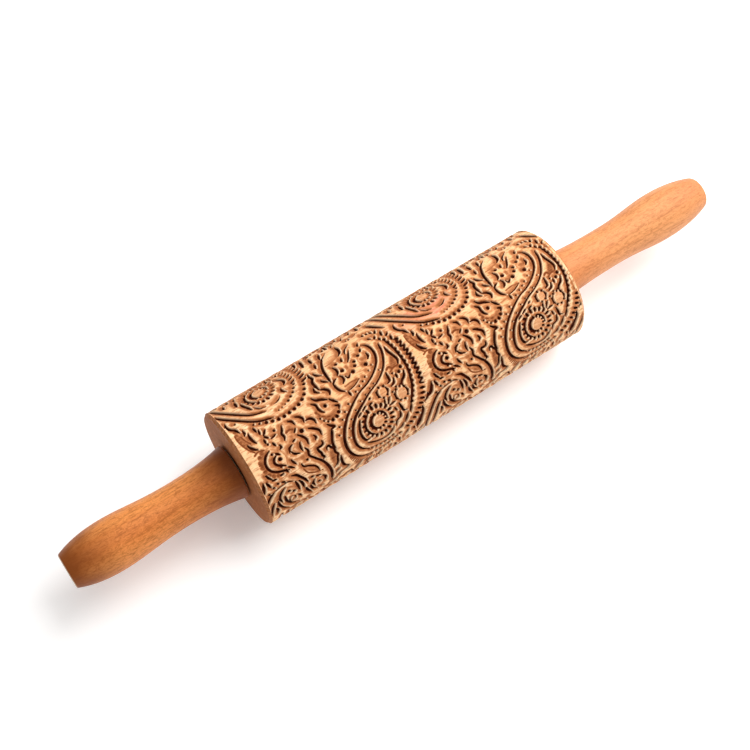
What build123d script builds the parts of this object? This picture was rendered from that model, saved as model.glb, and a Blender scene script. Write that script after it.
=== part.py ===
"""An embossed wooden rolling pin with two turned handles.

The engraved barrel spins on a steel axle rod. A flanged nylon bush is pressed into each end of
the barrel and runs on the rod. The rod's threaded ends screw into brass inserts in the handles,
so the handles and the rod turn together, and a nylon washer keeps each handle off the barrel.

Units are millimetres. The origin is the centre of the barrel, +X runs along the axle towards the
right handle and +Z is up. Every piece is round, so each profile is drawn in the XZ plane, with X
along the axle and Z as the radius, and turned about the X axis.
"""

import os

from build123d import *

# Barrel.
BARREL_DIAMETER = 55.0
BARREL_LENGTH = 170.0
BARREL_EDGE_CHAMFER = 1.2

# Axle rod and its threaded ends.
ROD_DIAMETER = 8.0
THREAD_DIAMETER = 6.0
THREAD_LENGTH = 18.0
THREAD_CLEARANCE = 0.05
ROD_EDGE_CHAMFER = 0.6

# Nylon bush, pressed into the barrel, running on the rod.
RUNNING_CLEARANCE = 0.05
BUSH_DIAMETER = 12.0
BUSH_LENGTH = 18.0
BUSH_FLANGE_DIAMETER = 18.0
BUSH_FLANGE_THICKNESS = 1.6
BUSH_FLANGE_SINK = 0.2
BUSH_FLANGE_SIDE_GAP = 0.1
BUSH_MOUTH_CHAMFER = 0.4

# Thrust washer between the bush flange and the handle.
WASHER_DIAMETER = 13.0
WASHER_THICKNESS = 0.8
WASHER_BORE_CLEARANCE = 0.1
THRUST_GAP = 0.3

# Threaded brass insert, pressed into the handle.
INSERT_DIAMETER = 9.0
INSERT_LENGTH = 18.0
INSERT_GROOVE_DEPTH = 0.5
INSERT_GROOVE_WIDTH = 2.0
INSERT_GROOVE_PLACES = (6.0, 12.0)
ROD_TIP_ROOM = 4.0

# Handles. Each outline is a list of places: the distance from the barrel's end face, and the
# radius there. It narrows from a flared root to a slim neck, swells to a bulge for the palm, and
# ends at the tip.
HANDLE_ROOT_ROUND = 0.6

LEFT_HANDLE = dict(
    root_radius=12.8,
    outline=((9.0, 11.2), (23.0, 10.05), (39.0, 10.3), (57.0, 11.7), (70.0, 11.1), (81.3, 7.9)),
    tip_round=1.0,
)
RIGHT_HANDLE = dict(
    root_radius=12.0,
    outline=((12.0, 10.6), (29.0, 9.9), (45.0, 10.2), (63.0, 11.8), (78.0, 11.2), (91.8, 7.8)),
    tip_round=2.0,
)

# Places along the axle, measured from the barrel's centre.
FACE_AT = BARREL_LENGTH / 2
FLANGE_OUTER_AT = FACE_AT - BUSH_FLANGE_SINK
FLANGE_INNER_AT = FLANGE_OUTER_AT - BUSH_FLANGE_THICKNESS
BUSH_END_AT = FLANGE_INNER_AT - BUSH_LENGTH
WASHER_AT = FLANGE_OUTER_AT + THRUST_GAP
HANDLE_AT = WASHER_AT + WASHER_THICKNESS
ROD_TIP_AT = HANDLE_AT + THREAD_LENGTH
INSERT_END_AT = HANDLE_AT + INSERT_LENGTH

LEFT = -1
RIGHT = 1


def barrel():
    """The wooden roller: bored right through, with a counterbore for a bush flange at each end."""
    with BuildPart() as roller:
        with BuildSketch(Plane.YZ.offset(-FACE_AT)):
            Circle(BARREL_DIAMETER / 2)
        extrude(amount=BARREL_LENGTH)
        chamfer(roller.edges(), BARREL_EDGE_CHAMFER)
        for side in (LEFT, RIGHT):
            with Locations(Plane(origin=(side * FACE_AT, 0, 0), z_dir=(side, 0, 0))):
                CounterBoreHole(
                    radius=BUSH_DIAMETER / 2,
                    counter_bore_radius=BUSH_FLANGE_DIAMETER / 2 + BUSH_FLANGE_SIDE_GAP,
                    counter_bore_depth=FACE_AT - FLANGE_INNER_AT,
                    depth=FACE_AT,
                )
    return roller


def axle_rod():
    """The steel rod, stepped down at both ends to the thread that holds the handles."""
    thread_radius = THREAD_DIAMETER / 2 - THREAD_CLEARANCE
    with BuildPart() as rod:
        with BuildSketch(Plane.YZ.offset(-HANDLE_AT)):
            Circle(ROD_DIAMETER / 2)
        extrude(amount=2 * HANDLE_AT)
        with BuildSketch(Plane.YZ.offset(-ROD_TIP_AT)):
            Circle(thread_radius)
        extrude(amount=2 * ROD_TIP_AT)
        tips = rod.faces().sort_by(Axis.X)
        chamfer(tips[0].edges() + tips[-1].edges(), ROD_EDGE_CHAMFER)
    return rod


def bush(side):
    """A flanged nylon bush, with its flange just below the barrel's end face."""
    with BuildPart() as sleeve:
        with BuildSketch(Plane.YZ.offset(side * BUSH_END_AT)):
            Circle(BUSH_DIAMETER / 2)
        extrude(amount=side * BUSH_LENGTH)
        with BuildSketch(Plane.YZ.offset(side * FLANGE_INNER_AT)):
            Circle(BUSH_FLANGE_DIAMETER / 2)
        extrude(amount=side * BUSH_FLANGE_THICKNESS)
        with BuildSketch(Plane.YZ.offset(side * BUSH_END_AT)):
            Circle(ROD_DIAMETER / 2 + RUNNING_CLEARANCE)
        extrude(amount=side * (FLANGE_OUTER_AT - BUSH_END_AT), mode=Mode.SUBTRACT)
        ends = sleeve.faces().filter_by(Axis.X).sort_by(Axis.X)
        mouths = [end.inner_wires()[0].edges()[0] for end in (ends[0], ends[-1])]
        chamfer(mouths, BUSH_MOUTH_CHAMFER)
    return sleeve


def thrust_washer(side):
    """A thin nylon ring on the rod, against the handle's inner end."""
    with BuildPart() as ring:
        with BuildSketch(Plane.YZ.offset(side * WASHER_AT)):
            Circle(WASHER_DIAMETER / 2)
            Circle(ROD_DIAMETER / 2 + WASHER_BORE_CLEARANCE, mode=Mode.SUBTRACT)
        extrude(amount=side * WASHER_THICKNESS)
    return ring


def threaded_insert(side):
    """A brass sleeve with two glue grooves around it, flush with the handle's inner end."""
    with BuildPart() as sleeve:
        with BuildSketch(Plane.YZ.offset(side * HANDLE_AT)):
            Circle(INSERT_DIAMETER / 2)
            Circle(THREAD_DIAMETER / 2, mode=Mode.SUBTRACT)
        extrude(amount=side * INSERT_LENGTH)
        for place in INSERT_GROOVE_PLACES:
            with BuildSketch(Plane.YZ.offset(side * (HANDLE_AT + place - INSERT_GROOVE_WIDTH / 2))):
                Circle(INSERT_DIAMETER / 2)
                Circle(INSERT_DIAMETER / 2 - INSERT_GROOVE_DEPTH, mode=Mode.SUBTRACT)
            extrude(amount=side * INSERT_GROOVE_WIDTH, mode=Mode.SUBTRACT)
    return sleeve


def handle(side, root_radius, outline, tip_round):
    """A turned grip: a flared root, a slim neck, a bulge and a blunt tip, bored for the insert."""
    root = (side * HANDLE_AT, root_radius)
    places = [(side * (FACE_AT + distance), radius) for distance, radius in outline]
    tip_at = places[-1][0]
    with BuildPart() as grip:
        with BuildSketch(Plane.XZ):
            with BuildLine():
                Polyline(places[-1], (tip_at, 0), (side * HANDLE_AT, 0), root)
                Spline(root, *places)
            make_face()
        revolve(axis=Axis.X)
        ends = grip.faces().filter_by(Axis.X).sort_by(Axis.X, reverse=side == LEFT)
        fillet(ends[0].edges(), HANDLE_ROOT_ROUND)
        fillet(ends[-1].edges(), tip_round)
        with BuildSketch(Plane.YZ.offset(side * HANDLE_AT)):
            Circle(INSERT_DIAMETER / 2)
        extrude(amount=side * INSERT_LENGTH, mode=Mode.SUBTRACT)
        with BuildSketch(Plane.YZ.offset(side * INSERT_END_AT)):
            Circle(THREAD_DIAMETER / 2)
        extrude(amount=side * ROD_TIP_ROOM, mode=Mode.SUBTRACT)
    return grip


pieces = {
    "barrel": barrel(),
    "axle_rod": axle_rod(),
    "left_handle": handle(LEFT, **LEFT_HANDLE),
    "right_handle": handle(RIGHT, **RIGHT_HANDLE),
}
for word, side in (("left", LEFT), ("right", RIGHT)):
    pieces[word + "_bush"] = bush(side)
    pieces[word + "_thrust_washer"] = thrust_washer(side)
    pieces[word + "_threaded_insert"] = threaded_insert(side)

os.makedirs("parts", exist_ok=True)
for label, piece in pieces.items():
    piece.part.label = label
    export_step(piece.part, f"parts/{label}.step")
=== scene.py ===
"""The looks of an embossed rolling pin: an engraved beech barrel between two turned handles.

The barrel's pattern is drawn flat, as one repeat of a paisley design, and wrapped round the
barrel. Flat positions are in millimetres: u runs along the axle from the barrel's left rim, and
v runs round the barrel from its top towards the viewer. The finished pieces are in metres.
"""

import math

import bpy
import numpy as np
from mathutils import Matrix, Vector


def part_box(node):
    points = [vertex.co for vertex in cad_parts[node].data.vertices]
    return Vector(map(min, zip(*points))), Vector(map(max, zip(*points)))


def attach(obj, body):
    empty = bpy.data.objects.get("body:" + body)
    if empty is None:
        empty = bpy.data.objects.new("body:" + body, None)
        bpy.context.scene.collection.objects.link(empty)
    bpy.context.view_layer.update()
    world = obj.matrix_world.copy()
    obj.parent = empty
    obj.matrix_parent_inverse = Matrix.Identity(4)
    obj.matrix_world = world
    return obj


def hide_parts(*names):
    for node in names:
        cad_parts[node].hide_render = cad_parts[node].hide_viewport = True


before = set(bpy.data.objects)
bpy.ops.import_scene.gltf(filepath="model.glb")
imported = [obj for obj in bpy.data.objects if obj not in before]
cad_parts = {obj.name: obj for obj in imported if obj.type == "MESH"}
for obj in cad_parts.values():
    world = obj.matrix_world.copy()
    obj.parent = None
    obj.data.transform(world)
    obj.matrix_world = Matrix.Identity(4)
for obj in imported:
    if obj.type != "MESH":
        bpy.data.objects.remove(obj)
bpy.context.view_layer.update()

MM = 0.001

# Sizes taken from the frame. Corners and the floor's height are in metres, and the rest is in
# millimetres.

BARREL_LOW, BARREL_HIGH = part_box("barrel")
BARREL_LENGTH = (BARREL_HIGH.x - BARREL_LOW.x) / MM
BARREL_RADIUS = (BARREL_HIGH.z - BARREL_LOW.z) / 2 / MM
BUSH_LOW, BUSH_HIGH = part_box("left_bush")
FLANGE_RADIUS = (BUSH_HIGH.z - BUSH_LOW.z) / 2 / MM
FLOOR_HEIGHT = BARREL_LOW.z

# The barrel's plain shape, in millimetres. BORE_STRIP is the bore's width on the flattened skin.

RIM_CHAMFER = 1.2
FLANGE_GAP = 0.1
COUNTERBORE_RADIUS = FLANGE_RADIUS + FLANGE_GAP
COUNTERBORE_DEPTH = 1.8
BORE_RADIUS = 6.0
BORE_STRIP = 4.0

# The engraving's grid. Lengths on the flat drawing are in millimetres.

REPEATS = 2
TILE_LENGTH = BARREL_LENGTH / REPEATS
TILE_GIRTH = 2 * math.pi * BARREL_RADIUS / REPEATS
CELL = 0.28
SAMPLE = 0.2

# How the skin is cut: the depth of a groove and of a browned area, the width of a groove's steep
# walls, and the length over which it narrows at its ends.

GROOVE_DEPTH = 1.3
GRAZE_DEPTH = 0.32
WALL_WIDTH = 0.28
TAPER = 2.0

# How the surface browns: a thin halo round each groove, a broad ramp up and to the left of it, and
# soft patches. A painted highlight, a pale sliver for light caught on a groove's edge, lies on its
# other side, and its shift is in cells.

SCORCH_WIDTH = 0.6
HALO = 0.4
RAMP_SHIFT = (-0.85, -0.5)
RAMP_WIDTH = 1.6
RAMP_STRENGTH = 0.6
SHADE_REACH = 2.2
SHADE_STRENGTH = 0.7
SOFT_EDGE = 0.6
FILL_EDGE = 1.3
SPARED_SCORCH = 0.25
PAINTED_HIGHLIGHT_SHIFT = (2, 1)

# The pattern stops short of the rims, and further in where v is from PLAIN_FROM to PLAIN_TO.

RIM_FADE = 0.5
PLAIN_BAND = 2.2
PLAIN_FROM = -7.0
PLAIN_TO = 21.0

# Marks on the surfaces, in metres.

HATCH_SPACING = 0.3 * MM
LATHE_SPACING = 0.4 * MM
END_RING_SPACING = 2.2 * MM
STAIN_CENTRE = (BARREL_LOW.x + 0.103, 0.007, 0.0266)
STAIN_REACH = (0.017, 0.006, 0.006)

# The studio: angles in degrees, distances and sizes in metres.

MAIN_LAMP = dict(azimuth=92, elevation=50, distance=0.9, size=1.0, watts=15.4)
FILL_LAMP = dict(azimuth=-20, elevation=80, distance=1.3, size=1.2, watts=2.0)
SURROUND_STRENGTH = 0.3
PAPER_GLOW = 0.2
FLOOR_REACH = 3.0

# The camera, at the photograph's viewing angle: its angles in degrees, its distance and aim in
# metres, and its lens and sensor in millimetres.

CAMERA_LENS = 59.76
CAMERA_SENSOR = 36.0
CAMERA_AZIMUTH = -34.39
CAMERA_ELEVATION = 61.27
CAMERA_DISTANCE = 0.558
CAMERA_AIM = Vector((-0.00928, 0.00493, -0.00065))


def smooth_path(points):
    """Close-set places along a smooth curve through a few points."""
    corners = np.array(points, float)
    lengths = np.hypot(*np.diff(corners, axis=0).T)
    stations = np.concatenate([[0.0], np.cumsum(lengths)])
    headings = np.gradient(corners, stations, axis=0)
    stretches = []
    for index, length in enumerate(lengths):
        count = max(2, math.ceil(length / SAMPLE))
        t = np.linspace(0, 1, count, endpoint=False)[:, None]
        from_start = (2 * t**3 - 3 * t**2 + 1) * corners[index]
        from_end = (3 * t**2 - 2 * t**3) * corners[index + 1]
        leaving = (t**3 - 2 * t**2 + t) * length * headings[index]
        arriving = (t**3 - t**2) * length * headings[index + 1]
        stretches.append(from_start + from_end + leaving + arriving)
    stretches.append(corners[-1:])
    return np.concatenate(stretches)


def travel_along(path):
    """The distance travelled at each place of a path."""
    return np.concatenate([[0.0], np.cumsum(np.hypot(*np.diff(path, axis=0).T))])


def right_of(path):
    """The unit direction to the right of travel at each place, as seen on the flat drawing."""
    heading = np.gradient(path, axis=0)
    heading /= np.hypot(*heading.T)[:, None]
    return np.stack([-heading[:, 1], heading[:, 0]], axis=1)


def spaced(points, pitch):
    """Places at an even pitch along a smooth curve, with the direction to its right at each."""
    path = smooth_path(points)
    travel = travel_along(path)
    stops = np.linspace(0, travel[-1], max(2, round(travel[-1] / pitch) + 1))
    right = right_of(path)
    places = np.stack([np.interp(stops, travel, path[:, axis]) for axis in (0, 1)], axis=1)
    sides = np.stack([np.interp(stops, travel, right[:, axis]) for axis in (0, 1)], axis=1)
    return list(zip(places, sides))


def arc_points(centre, radius, start, turn):
    """Points on an arc, in degrees clockwise from u on the flat drawing."""
    angles = np.radians(np.linspace(start, start + turn, max(5, math.ceil(turn / 30) + 1)))
    return np.stack([np.cos(angles), np.sin(angles)], axis=1) * radius + centre


class Engraving:
    """One repeat of the pattern as a grid of small cells that wraps at all four edges.

    cut is 1 on the floor of a groove, and scorch is 1 where the surface is browned most."""

    def __init__(self):
        self.columns = round(TILE_LENGTH / CELL)
        self.rows = round(TILE_GIRTH / CELL)
        self.step_u = TILE_LENGTH / self.columns
        self.step_v = TILE_GIRTH / self.rows
        self.cut = np.zeros((self.columns, self.rows))
        self.scorch = np.zeros((self.columns, self.rows))

    def patch(self, centre, reach):
        """The cells within reach of a centre, and how far each is from it along u and v."""
        first_u = math.ceil((centre[0] - reach) / self.step_u)
        last_u = math.floor((centre[0] + reach) / self.step_u)
        first_v = math.ceil((centre[1] - reach) / self.step_v)
        last_v = math.floor((centre[1] + reach) / self.step_v)
        columns = np.arange(first_u, last_u + 1)
        rows = np.arange(first_v, last_v + 1)
        cells = np.ix_(columns % self.columns, rows % self.rows)
        du = (columns * self.step_u - centre[0])[:, None]
        dv = (rows * self.step_v - centre[1])[None, :]
        return cells, du, dv

    def stamp(self, layer, centre, radius, edge, strength=1.0):
        """Marks a round spot on a layer, with an edge that slopes away outside its radius."""
        cells, du, dv = self.patch(centre, radius + edge)
        amount = np.clip((radius + edge - np.hypot(du, dv)) / edge, 0, 1) * strength
        layer[cells] = np.maximum(layer[cells], amount)

    def stamp_cut(self, centre, radius):
        """Cuts a round spot with steep walls, and browns the surface round it."""
        floor = max(0.0, radius - WALL_WIDTH / 2)
        self.stamp(self.cut, centre, floor, WALL_WIDTH)
        self.stamp(self.scorch, centre, floor + WALL_WIDTH, SCORCH_WIDTH, HALO)
        self.stamp(self.scorch, np.add(centre, RAMP_SHIFT), floor, RAMP_WIDTH, RAMP_STRENGTH)

    def groove(self, points, width, tip=0.45, shade=0):
        """Cuts a line that narrows towards both ends, to tip of its width.

        width is one number or several along the line. shade browns its right (1) or its left (-1)."""
        path = smooth_path(points)
        travel = travel_along(path)
        widths = np.atleast_1d(width)
        full = np.interp(travel, np.linspace(0, travel[-1], len(widths)), widths)
        to_end = np.minimum(travel, travel[-1] - travel)
        full = full * (tip + (1 - tip) * np.clip(to_end / min(TAPER, travel[-1] / 2), 0, 1))
        for place, across in zip(path, full):
            self.stamp_cut(place, across / 2)
        if shade:
            self.graze(points, SHADE_REACH, shade, SHADE_STRENGTH)

    def grooves(self, *lines, width, tip=0.45, shade=0):
        """Cuts several lines that share a width and shading."""
        for points in lines:
            self.groove(points, width, tip, shade)

    def scratch(self, points, width, strength):
        """Browns a thin line without cutting deep."""
        for place in smooth_path(points):
            self.stamp(self.scorch, place, width / 2, WALL_WIDTH, strength)

    def dot(self, centre, radius):
        """Cuts a round spot."""
        self.stamp_cut(centre, radius)

    def dots(self, *centres, radius):
        """Cuts several round spots."""
        for centre in centres:
            self.dot(centre, radius)

    def graze(self, points, reach, side=1, strength=0.8):
        """Browns the right of a line (side 1) or its left (side -1), fading away from the line."""
        path = smooth_path(points)
        for place, right in zip(path, right_of(path)):
            cells, du, dv = self.patch(place, reach)
            amount = np.clip(1 - np.hypot(du, dv) / reach, 0, 1) * strength
            amount *= np.clip((du * right[0] + dv * right[1]) * side / SOFT_EDGE + 0.5, 0, 1)
            self.scorch[cells] = np.maximum(self.scorch[cells], amount)

    def fill(self, *outlines, strength=0.55):
        """Browns the inside of smooth closed outlines, fading at their edges."""
        for outline in outlines:
            edge = smooth_path([*outline, outline[0]])
            middle = edge.mean(axis=0)
            cells, du, dv = self.patch(middle, np.abs(edge - middle).max())
            ring = (edge - middle) @ (1, 1j)
            away = ring - (du + 1j * dv)[..., None]
            turn = np.angle(away[..., 1:] / away[..., :-1]).sum(axis=-1)
            inside = np.abs(turn) > math.pi
            amount = np.clip(np.abs(away).min(axis=-1) / FILL_EDGE, 0, 1) * inside * strength
            self.scorch[cells] = np.maximum(self.scorch[cells], amount)

    def lobes(self, points, pitch, radius, strength):
        """Browns a row of soft round spots that run into a scalloped band."""
        for place, _ in spaced(points, pitch):
            self.stamp(self.scorch, place, radius - SOFT_EDGE, SOFT_EDGE, strength)

    def spare(self, centre, radius):
        """Leaves a round spot uncut and lightly browned, whatever was drawn on it before."""
        cells, du, dv = self.patch(centre, radius + SOFT_EDGE)
        keep = np.clip((np.hypot(du, dv) - radius) / SOFT_EDGE, 0, 1)
        self.cut[cells] *= keep
        self.scorch[cells] = self.scorch[cells] * keep + SPARED_SCORCH * (1 - keep)

    def beads(self, points, pitch, radius):
        """Cuts a row of spots."""
        for place, _ in spaced(points, pitch):
            self.dot(place, radius)

    def dashes(self, points, pitch, length, width, lean=0.0):
        """Cuts a row of short dashes across a line, each leaning along it by lean."""
        for place, right in spaced(points, pitch):
            along = np.array([right[1], -right[0]])
            half = (right * math.cos(lean) + along * math.sin(lean)) * length / 2
            self.groove([place - half, place + half], width, tip=0.7)

    def saw(self, points, pitch, depth, width):
        """Cuts a line of saw teeth that stand out on the left of a smooth curve."""
        corners = []
        for place, right in spaced(points, pitch):
            along = np.array([right[1], -right[0]])
            corners.append(place)
            corners.append(place - right * depth + along * depth / 3)
        self.groove(corners, width, tip=0.7)

    def rays(self, centre, inner, outer, count, width, turn=0.0):
        """Cuts short spokes in a ring round a centre."""
        for index in range(count):
            angle = turn + 2 * math.pi * index / count
            spoke = np.array([math.cos(angle), math.sin(angle)])
            self.groove([centre + spoke * inner, centre + spoke * outer], width, tip=0.7)

    def ring(self, centre, radius, width):
        """Cuts a circle."""
        self.groove(arc_points(centre, radius, 0, 360), width, tip=1.0)


# The pattern's motifs, each drawn where it lies on the repeat.

def draw_rosette(art, centre):
    """A flower of concentric rings: a disc, spokes, a plain ring and an outer ring of spokes."""
    art.graze(arc_points(centre, 2.6, 80, 220), 2.0, side=-1)
    art.graze(arc_points(centre, 5.9, 0, 360), 2.0, side=-1, strength=0.75)
    art.rays(centre, 6.2, 7.5, 19, width=1.45)
    art.rays(centre, 3.2, 4.2, 13, width=1.2, turn=0.2)
    art.groove(arc_points(centre, 3.5, 100, 170), 1.5)
    art.groove(arc_points(centre, 4.3, -75, 80), 0.9)
    art.groove(arc_points(centre, 6.3, 120, 120), 1.0)
    art.spare(centre, 2.4)


def draw_daisy(art, centre, disc, petals):
    """A small round flower: a plain disc, half ringed by a deep cut and half by short petals."""
    art.graze(arc_points(centre, disc + 0.1, 0, 360), 1.6, side=-1, strength=0.6)
    art.rays(centre, disc + 0.6, disc + 1.1, petals, width=1.1)
    art.groove(arc_points(centre, disc + 0.7, 140, 90), 1.05)
    art.groove(arc_points(centre, disc + 0.8, -30, 70), 1.1)
    art.spare(centre, disc)


def draw_leaf(art, start, end, width):
    """A small pointed leaf with one deep edge, one faint edge, a midrib and a browned blade."""
    start = np.array(start)
    end = np.array(end)
    third = (end - start) / 3
    bulge = np.array([-third[1], third[0]]) / math.hypot(*third) * width / 2
    deep = [start, start + third + bulge, end - third + bulge, end]
    faint = [start, start + third - bulge, end - third - bulge, end]
    art.fill([*deep, end - third - bulge, start + third - bulge], strength=0.65)
    art.groove(deep, 1.0)
    art.scratch(faint, 0.5, 0.95)
    art.scratch([start + third / 2, end - third / 2], 0.4, 0.9)


def draw_paisley(art):
    """The large teardrop whose tail curls over at its top right."""
    outer = [(70.5, -8.5), (72.2, -7.3), (73.1, -4), (72.8, -1), (71.5, 2), (69, 4.8), (66, 7), (62, 9),
             (58, 10.2), (54.5, 12), (51, 14.3), (47.5, 17), (44.5, 20.5), (42.5, 24.5), (42, 28),
             (42.5, 32), (44.5, 36), (48, 39.3), (52, 41)]
    inner = [(76.9, -4.7), (76.2, -1), (74.5, 3), (72.5, 6), (69.5, 8.7), (65.5, 11), (61, 12.8), (57, 15),
             (53.5, 17), (50, 19.5), (47.5, 23), (46.4, 27), (46.6, 31), (48.5, 34.5), (51.5, 36.8)]
    art.groove(outer, [1.0, 1.15, 0.8, 0.65, 0.9, 1.3, 1.4, 1.2, 1.0])
    art.groove(inner, [1.0, 1.0, 0.75, 0.65, 0.9, 1.3, 1.4, 1.1, 0.8])
    art.graze(outer[10:], 2.6, strength=0.65)
    art.graze(inner[9:], 2.2, strength=0.6)
    art.graze(inner[4:10], 1.5, strength=0.4)
    art.beads([(52.5, 41.2), (58, 41.7), (62, 41), (65, 40.1), (67.3, 39.2)], 2.3, radius=0.85)
    art.beads([(53, 37.6), (58.6, 38.6), (63.7, 37.5)], 2.3, radius=0.75)
    art.scratch([(51, 36.6), (54, 38), (58.6, 38.6), (64, 37.4)], 0.9, 0.9)
    art.scratch([(50, 40.6), (54, 41.4), (58, 41.7), (64, 40.4)], 1.1, 0.9)
    art.fill(
        [(44, 38.5), (47, 41), (50, 42.5), (50.5, 44.6), (46, 43.6), (42.5, 40.5)],
        [(53, 42.8), (58, 43.2), (63, 42.4), (61, 44.8), (55, 45.2)])
    for place, right in spaced([(43, 33.5), (44.6, 38.2), (47.5, 41.2), (52, 43.2), (57, 43.8)], 1.3):
        art.scratch([place, place + right * 1.6], 0.5, 0.9)
    art.graze([(51, 38.2), (58.6, 39.8), (64, 38.6)], 2.0, side=-1, strength=0.5)
    art.graze([(50, 41.8), (58, 43), (65, 41.6)], 2.2, side=-1, strength=0.5)
    art.dots(
        (63.2, 5.8), (61.3, 7), (59, 8), (56.3, 9.3), (50.8, 12.2), (47.8, 14.3), (45.3, 16.7),
        (42.7, 18.8), (41, 22), radius=0.42)
    art.dots(
        (66, 4.2), (68.5, 2.6), (64.8, 10.2), (62.3, 11.2), (59.3, 12.6), (56, 13.9), (70, 6.3),
        (52.3, 16.2), (48.8, 18.6), (46.3, 21.6), (44.6, 25.4), radius=0.34)


def draw_paisley_lining(art):
    """The broken lines that follow the teardrop's inside, with leaves up its tail."""
    art.grooves(
        [(51.8, 21), (50.4, 24), (49.9, 27), (50.3, 29.5), (51.5, 31.5), (53.5, 31.5)],
        [(51.5, 33), (54, 34.5), (58, 35.9), (61.3, 36), (63.5, 34.7), (65, 32.8)],
        [(71.9, 9), (71.8, 11), (71.5, 12.8), (70.2, 13.4)], [(73.7, 12.5), (72.8, 14.3), (71, 15.3)],
        [(75.4, 11.5), (75.3, 13.3)], [(79.3, 11.8), (78.3, 14), (75.9, 16.2), (75.7, 17.6)],
        [(70.8, 23.5), (71.3, 26), (71.8, 28), (73, 28.3)],
        [(69.9, 27), (69.4, 29.8), (67, 31.2), (66.3, 33)], width=1.15, shade=1)
    art.grooves(
        [(65.5, 18.9), (65, 20.6)], [(67.9, 18.9), (66.4, 21.2)], [(69.3, 21.8), (66.8, 22.2)],
        [(56.8, 16.9), (54.9, 18)], [(53.8, 18.4), (51.9, 19.5)], [(60.2, 14.8), (59.6, 15.3)],
        [(59.9, 17), (58.4, 17.6)], [(68.3, 24.3), (68.7, 26)], width=0.95, tip=0.7)
    art.groove([(78, -1.5), (78.1, 1), (79, 4), (79.5, 6.5), (78.7, 8.3)], 1.15)
    art.fill(
        [(77.7, 0.5), (78.8, 3.5), (79.2, 6.5), (78.4, 8.6), (76, 9.8), (73.4, 8.8), (74.8, 6), (76.4, 3.4)],
        strength=0.7)
    art.scratch([(72.7, 8), (74.2, 7.5), (75.2, 8.5)], 0.7, 1.0)
    art.scratch([(74, 9.6), (76, 8.7), (78, 8.6)], 0.5, 1.0)
    art.graze([(50.8, 22), (49.9, 27), (51.3, 31.6), (55, 34.8)], 2.2, side=-1, strength=0.5)
    art.dots((77.2, 11.4), (78.9, 9.9), radius=0.75)
    art.dots((72.8, 16.4), (75, 16.4), (74.2, 10.6), (70.3, 17.6), radius=0.45)


def draw_paisley_flowers(art):
    """The rosette in the teardrop's belly, and the daisies in its neck."""
    draw_rosette(art, (59.3, 25.8))
    draw_daisy(art, (66.3, 15.4), 1.7, 7)
    draw_daisy(art, (73.7, 20.1), 2.2, 9)
    art.graze(arc_points((61.5, 17.6), 1.7, 90, 180), 1.2, side=-1, strength=0.7)


def draw_paisley_border(art):
    """The beaded line, and outside it the row of teeth, down the teardrop's right side."""
    line = [(80, -5), (80.6, -2), (81.2, 2), (81.4, 6), (81.5, 9), (81.2, 13), (80.5, 16), (79.7, 19),
            (78.6, 21.5), (76.3, 26)]
    art.groove(line, [0.9, 1.0, 1.0, 1.1, 1.3])
    for place, right in spaced(line, 2.3):
        art.dot(place - right * 0.25, 0.8)
    art.grooves(
        [(75.9, 26.8), (74.4, 30.6)], [(73.2, 30), (70.9, 34.2)],
        [(69.8, 33.9), (68.6, 35.6), (66.4, 36.6)], width=1.3)
    art.saw(
        [(83.6, -2.5), (84.2, 2), (84.4, 6), (84.3, 10), (84, 15), (83.2, 20.5)], pitch=2.3, depth=1.5,
        width=0.95)
    art.dashes(
        [(83.2, 23), (82.2, 26.2), (80.4, 29.4), (78, 32.4), (75, 35.2), (71.5, 37.6)], 2.3, 1.6, width=1.4)


def draw_leaning_paisley(art):
    """The second teardrop, which leans the other way and starts at the left rim."""
    outer = [(21, 86.7), (14.5, 84.4), (8, 79), (3, 73), (0, 67), (-1.5, 60.4), (-3, 52), (-3.5, 45),
             (-2, 39), (0.5, 34), (3, 31), (5.8, 29.2)]
    inner = [(20, 82.4), (14, 80), (8, 74), (5.5, 70.4), (3.5, 66.4), (2.3, 62.4), (1, 54), (0.5, 47),
             (1.5, 41), (3, 36.5), (4, 34.8)]
    art.groove(outer, [0.8, 1.15, 1.4, 1.4, 1.3, 1.2, 1.3, 1.4, 1.3])
    art.groove(inner, [0.8, 1.15, 1.4, 1.4, 1.3, 1.2, 1.2, 1.3, 1.4])
    art.graze(outer[:9], 1.9, strength=0.45)
    art.graze(inner[:9], 2.0, strength=0.45)
    art.groove([(5.8, 29.2), (8.5, 28.6), (11, 28.4), (12.6, 28.2), (14.6, 29.1)], [0.9, 0.5, 0.6, 1.0])
    art.beads(
        [(17.3, 0.7), (22.8, 2.3), (28.2, 2.1), (33.5, 0.9), (37.2, -1.6), (40, -6.3)], 2.6, radius=0.8)
    art.graze([(12, -1.5), (16, 0.2), (22.8, 0.9), (30, 0.6), (35.5, -1.3)], 2.2, strength=0.85)
    art.graze([(21, -0.6), (30, -0.9), (35.5, -3.4)], 1.6, side=-1, strength=0.35)
    art.dots((24.6, -1.3), (26.4, -1.6), (28.3, -2.2), radius=0.36)
    art.beads([(30.3, -3), (34, -5.5), (36.6, -9.2)], 2.2, radius=0.66)
    art.dashes(
        [(37, -11), (37.2, -15), (36.5, -20), (35, -26), (32, -33), (27.5, -38)], 2.4, 2.0, lean=0.6,
        width=1.4)
    art.dashes(
        [(41.3, -8.5), (41.6, -12), (41.5, -17), (40.5, -25), (38, -33), (35, -38)], 2.6, 2.4, lean=0.5,
        width=1.6)


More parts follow.
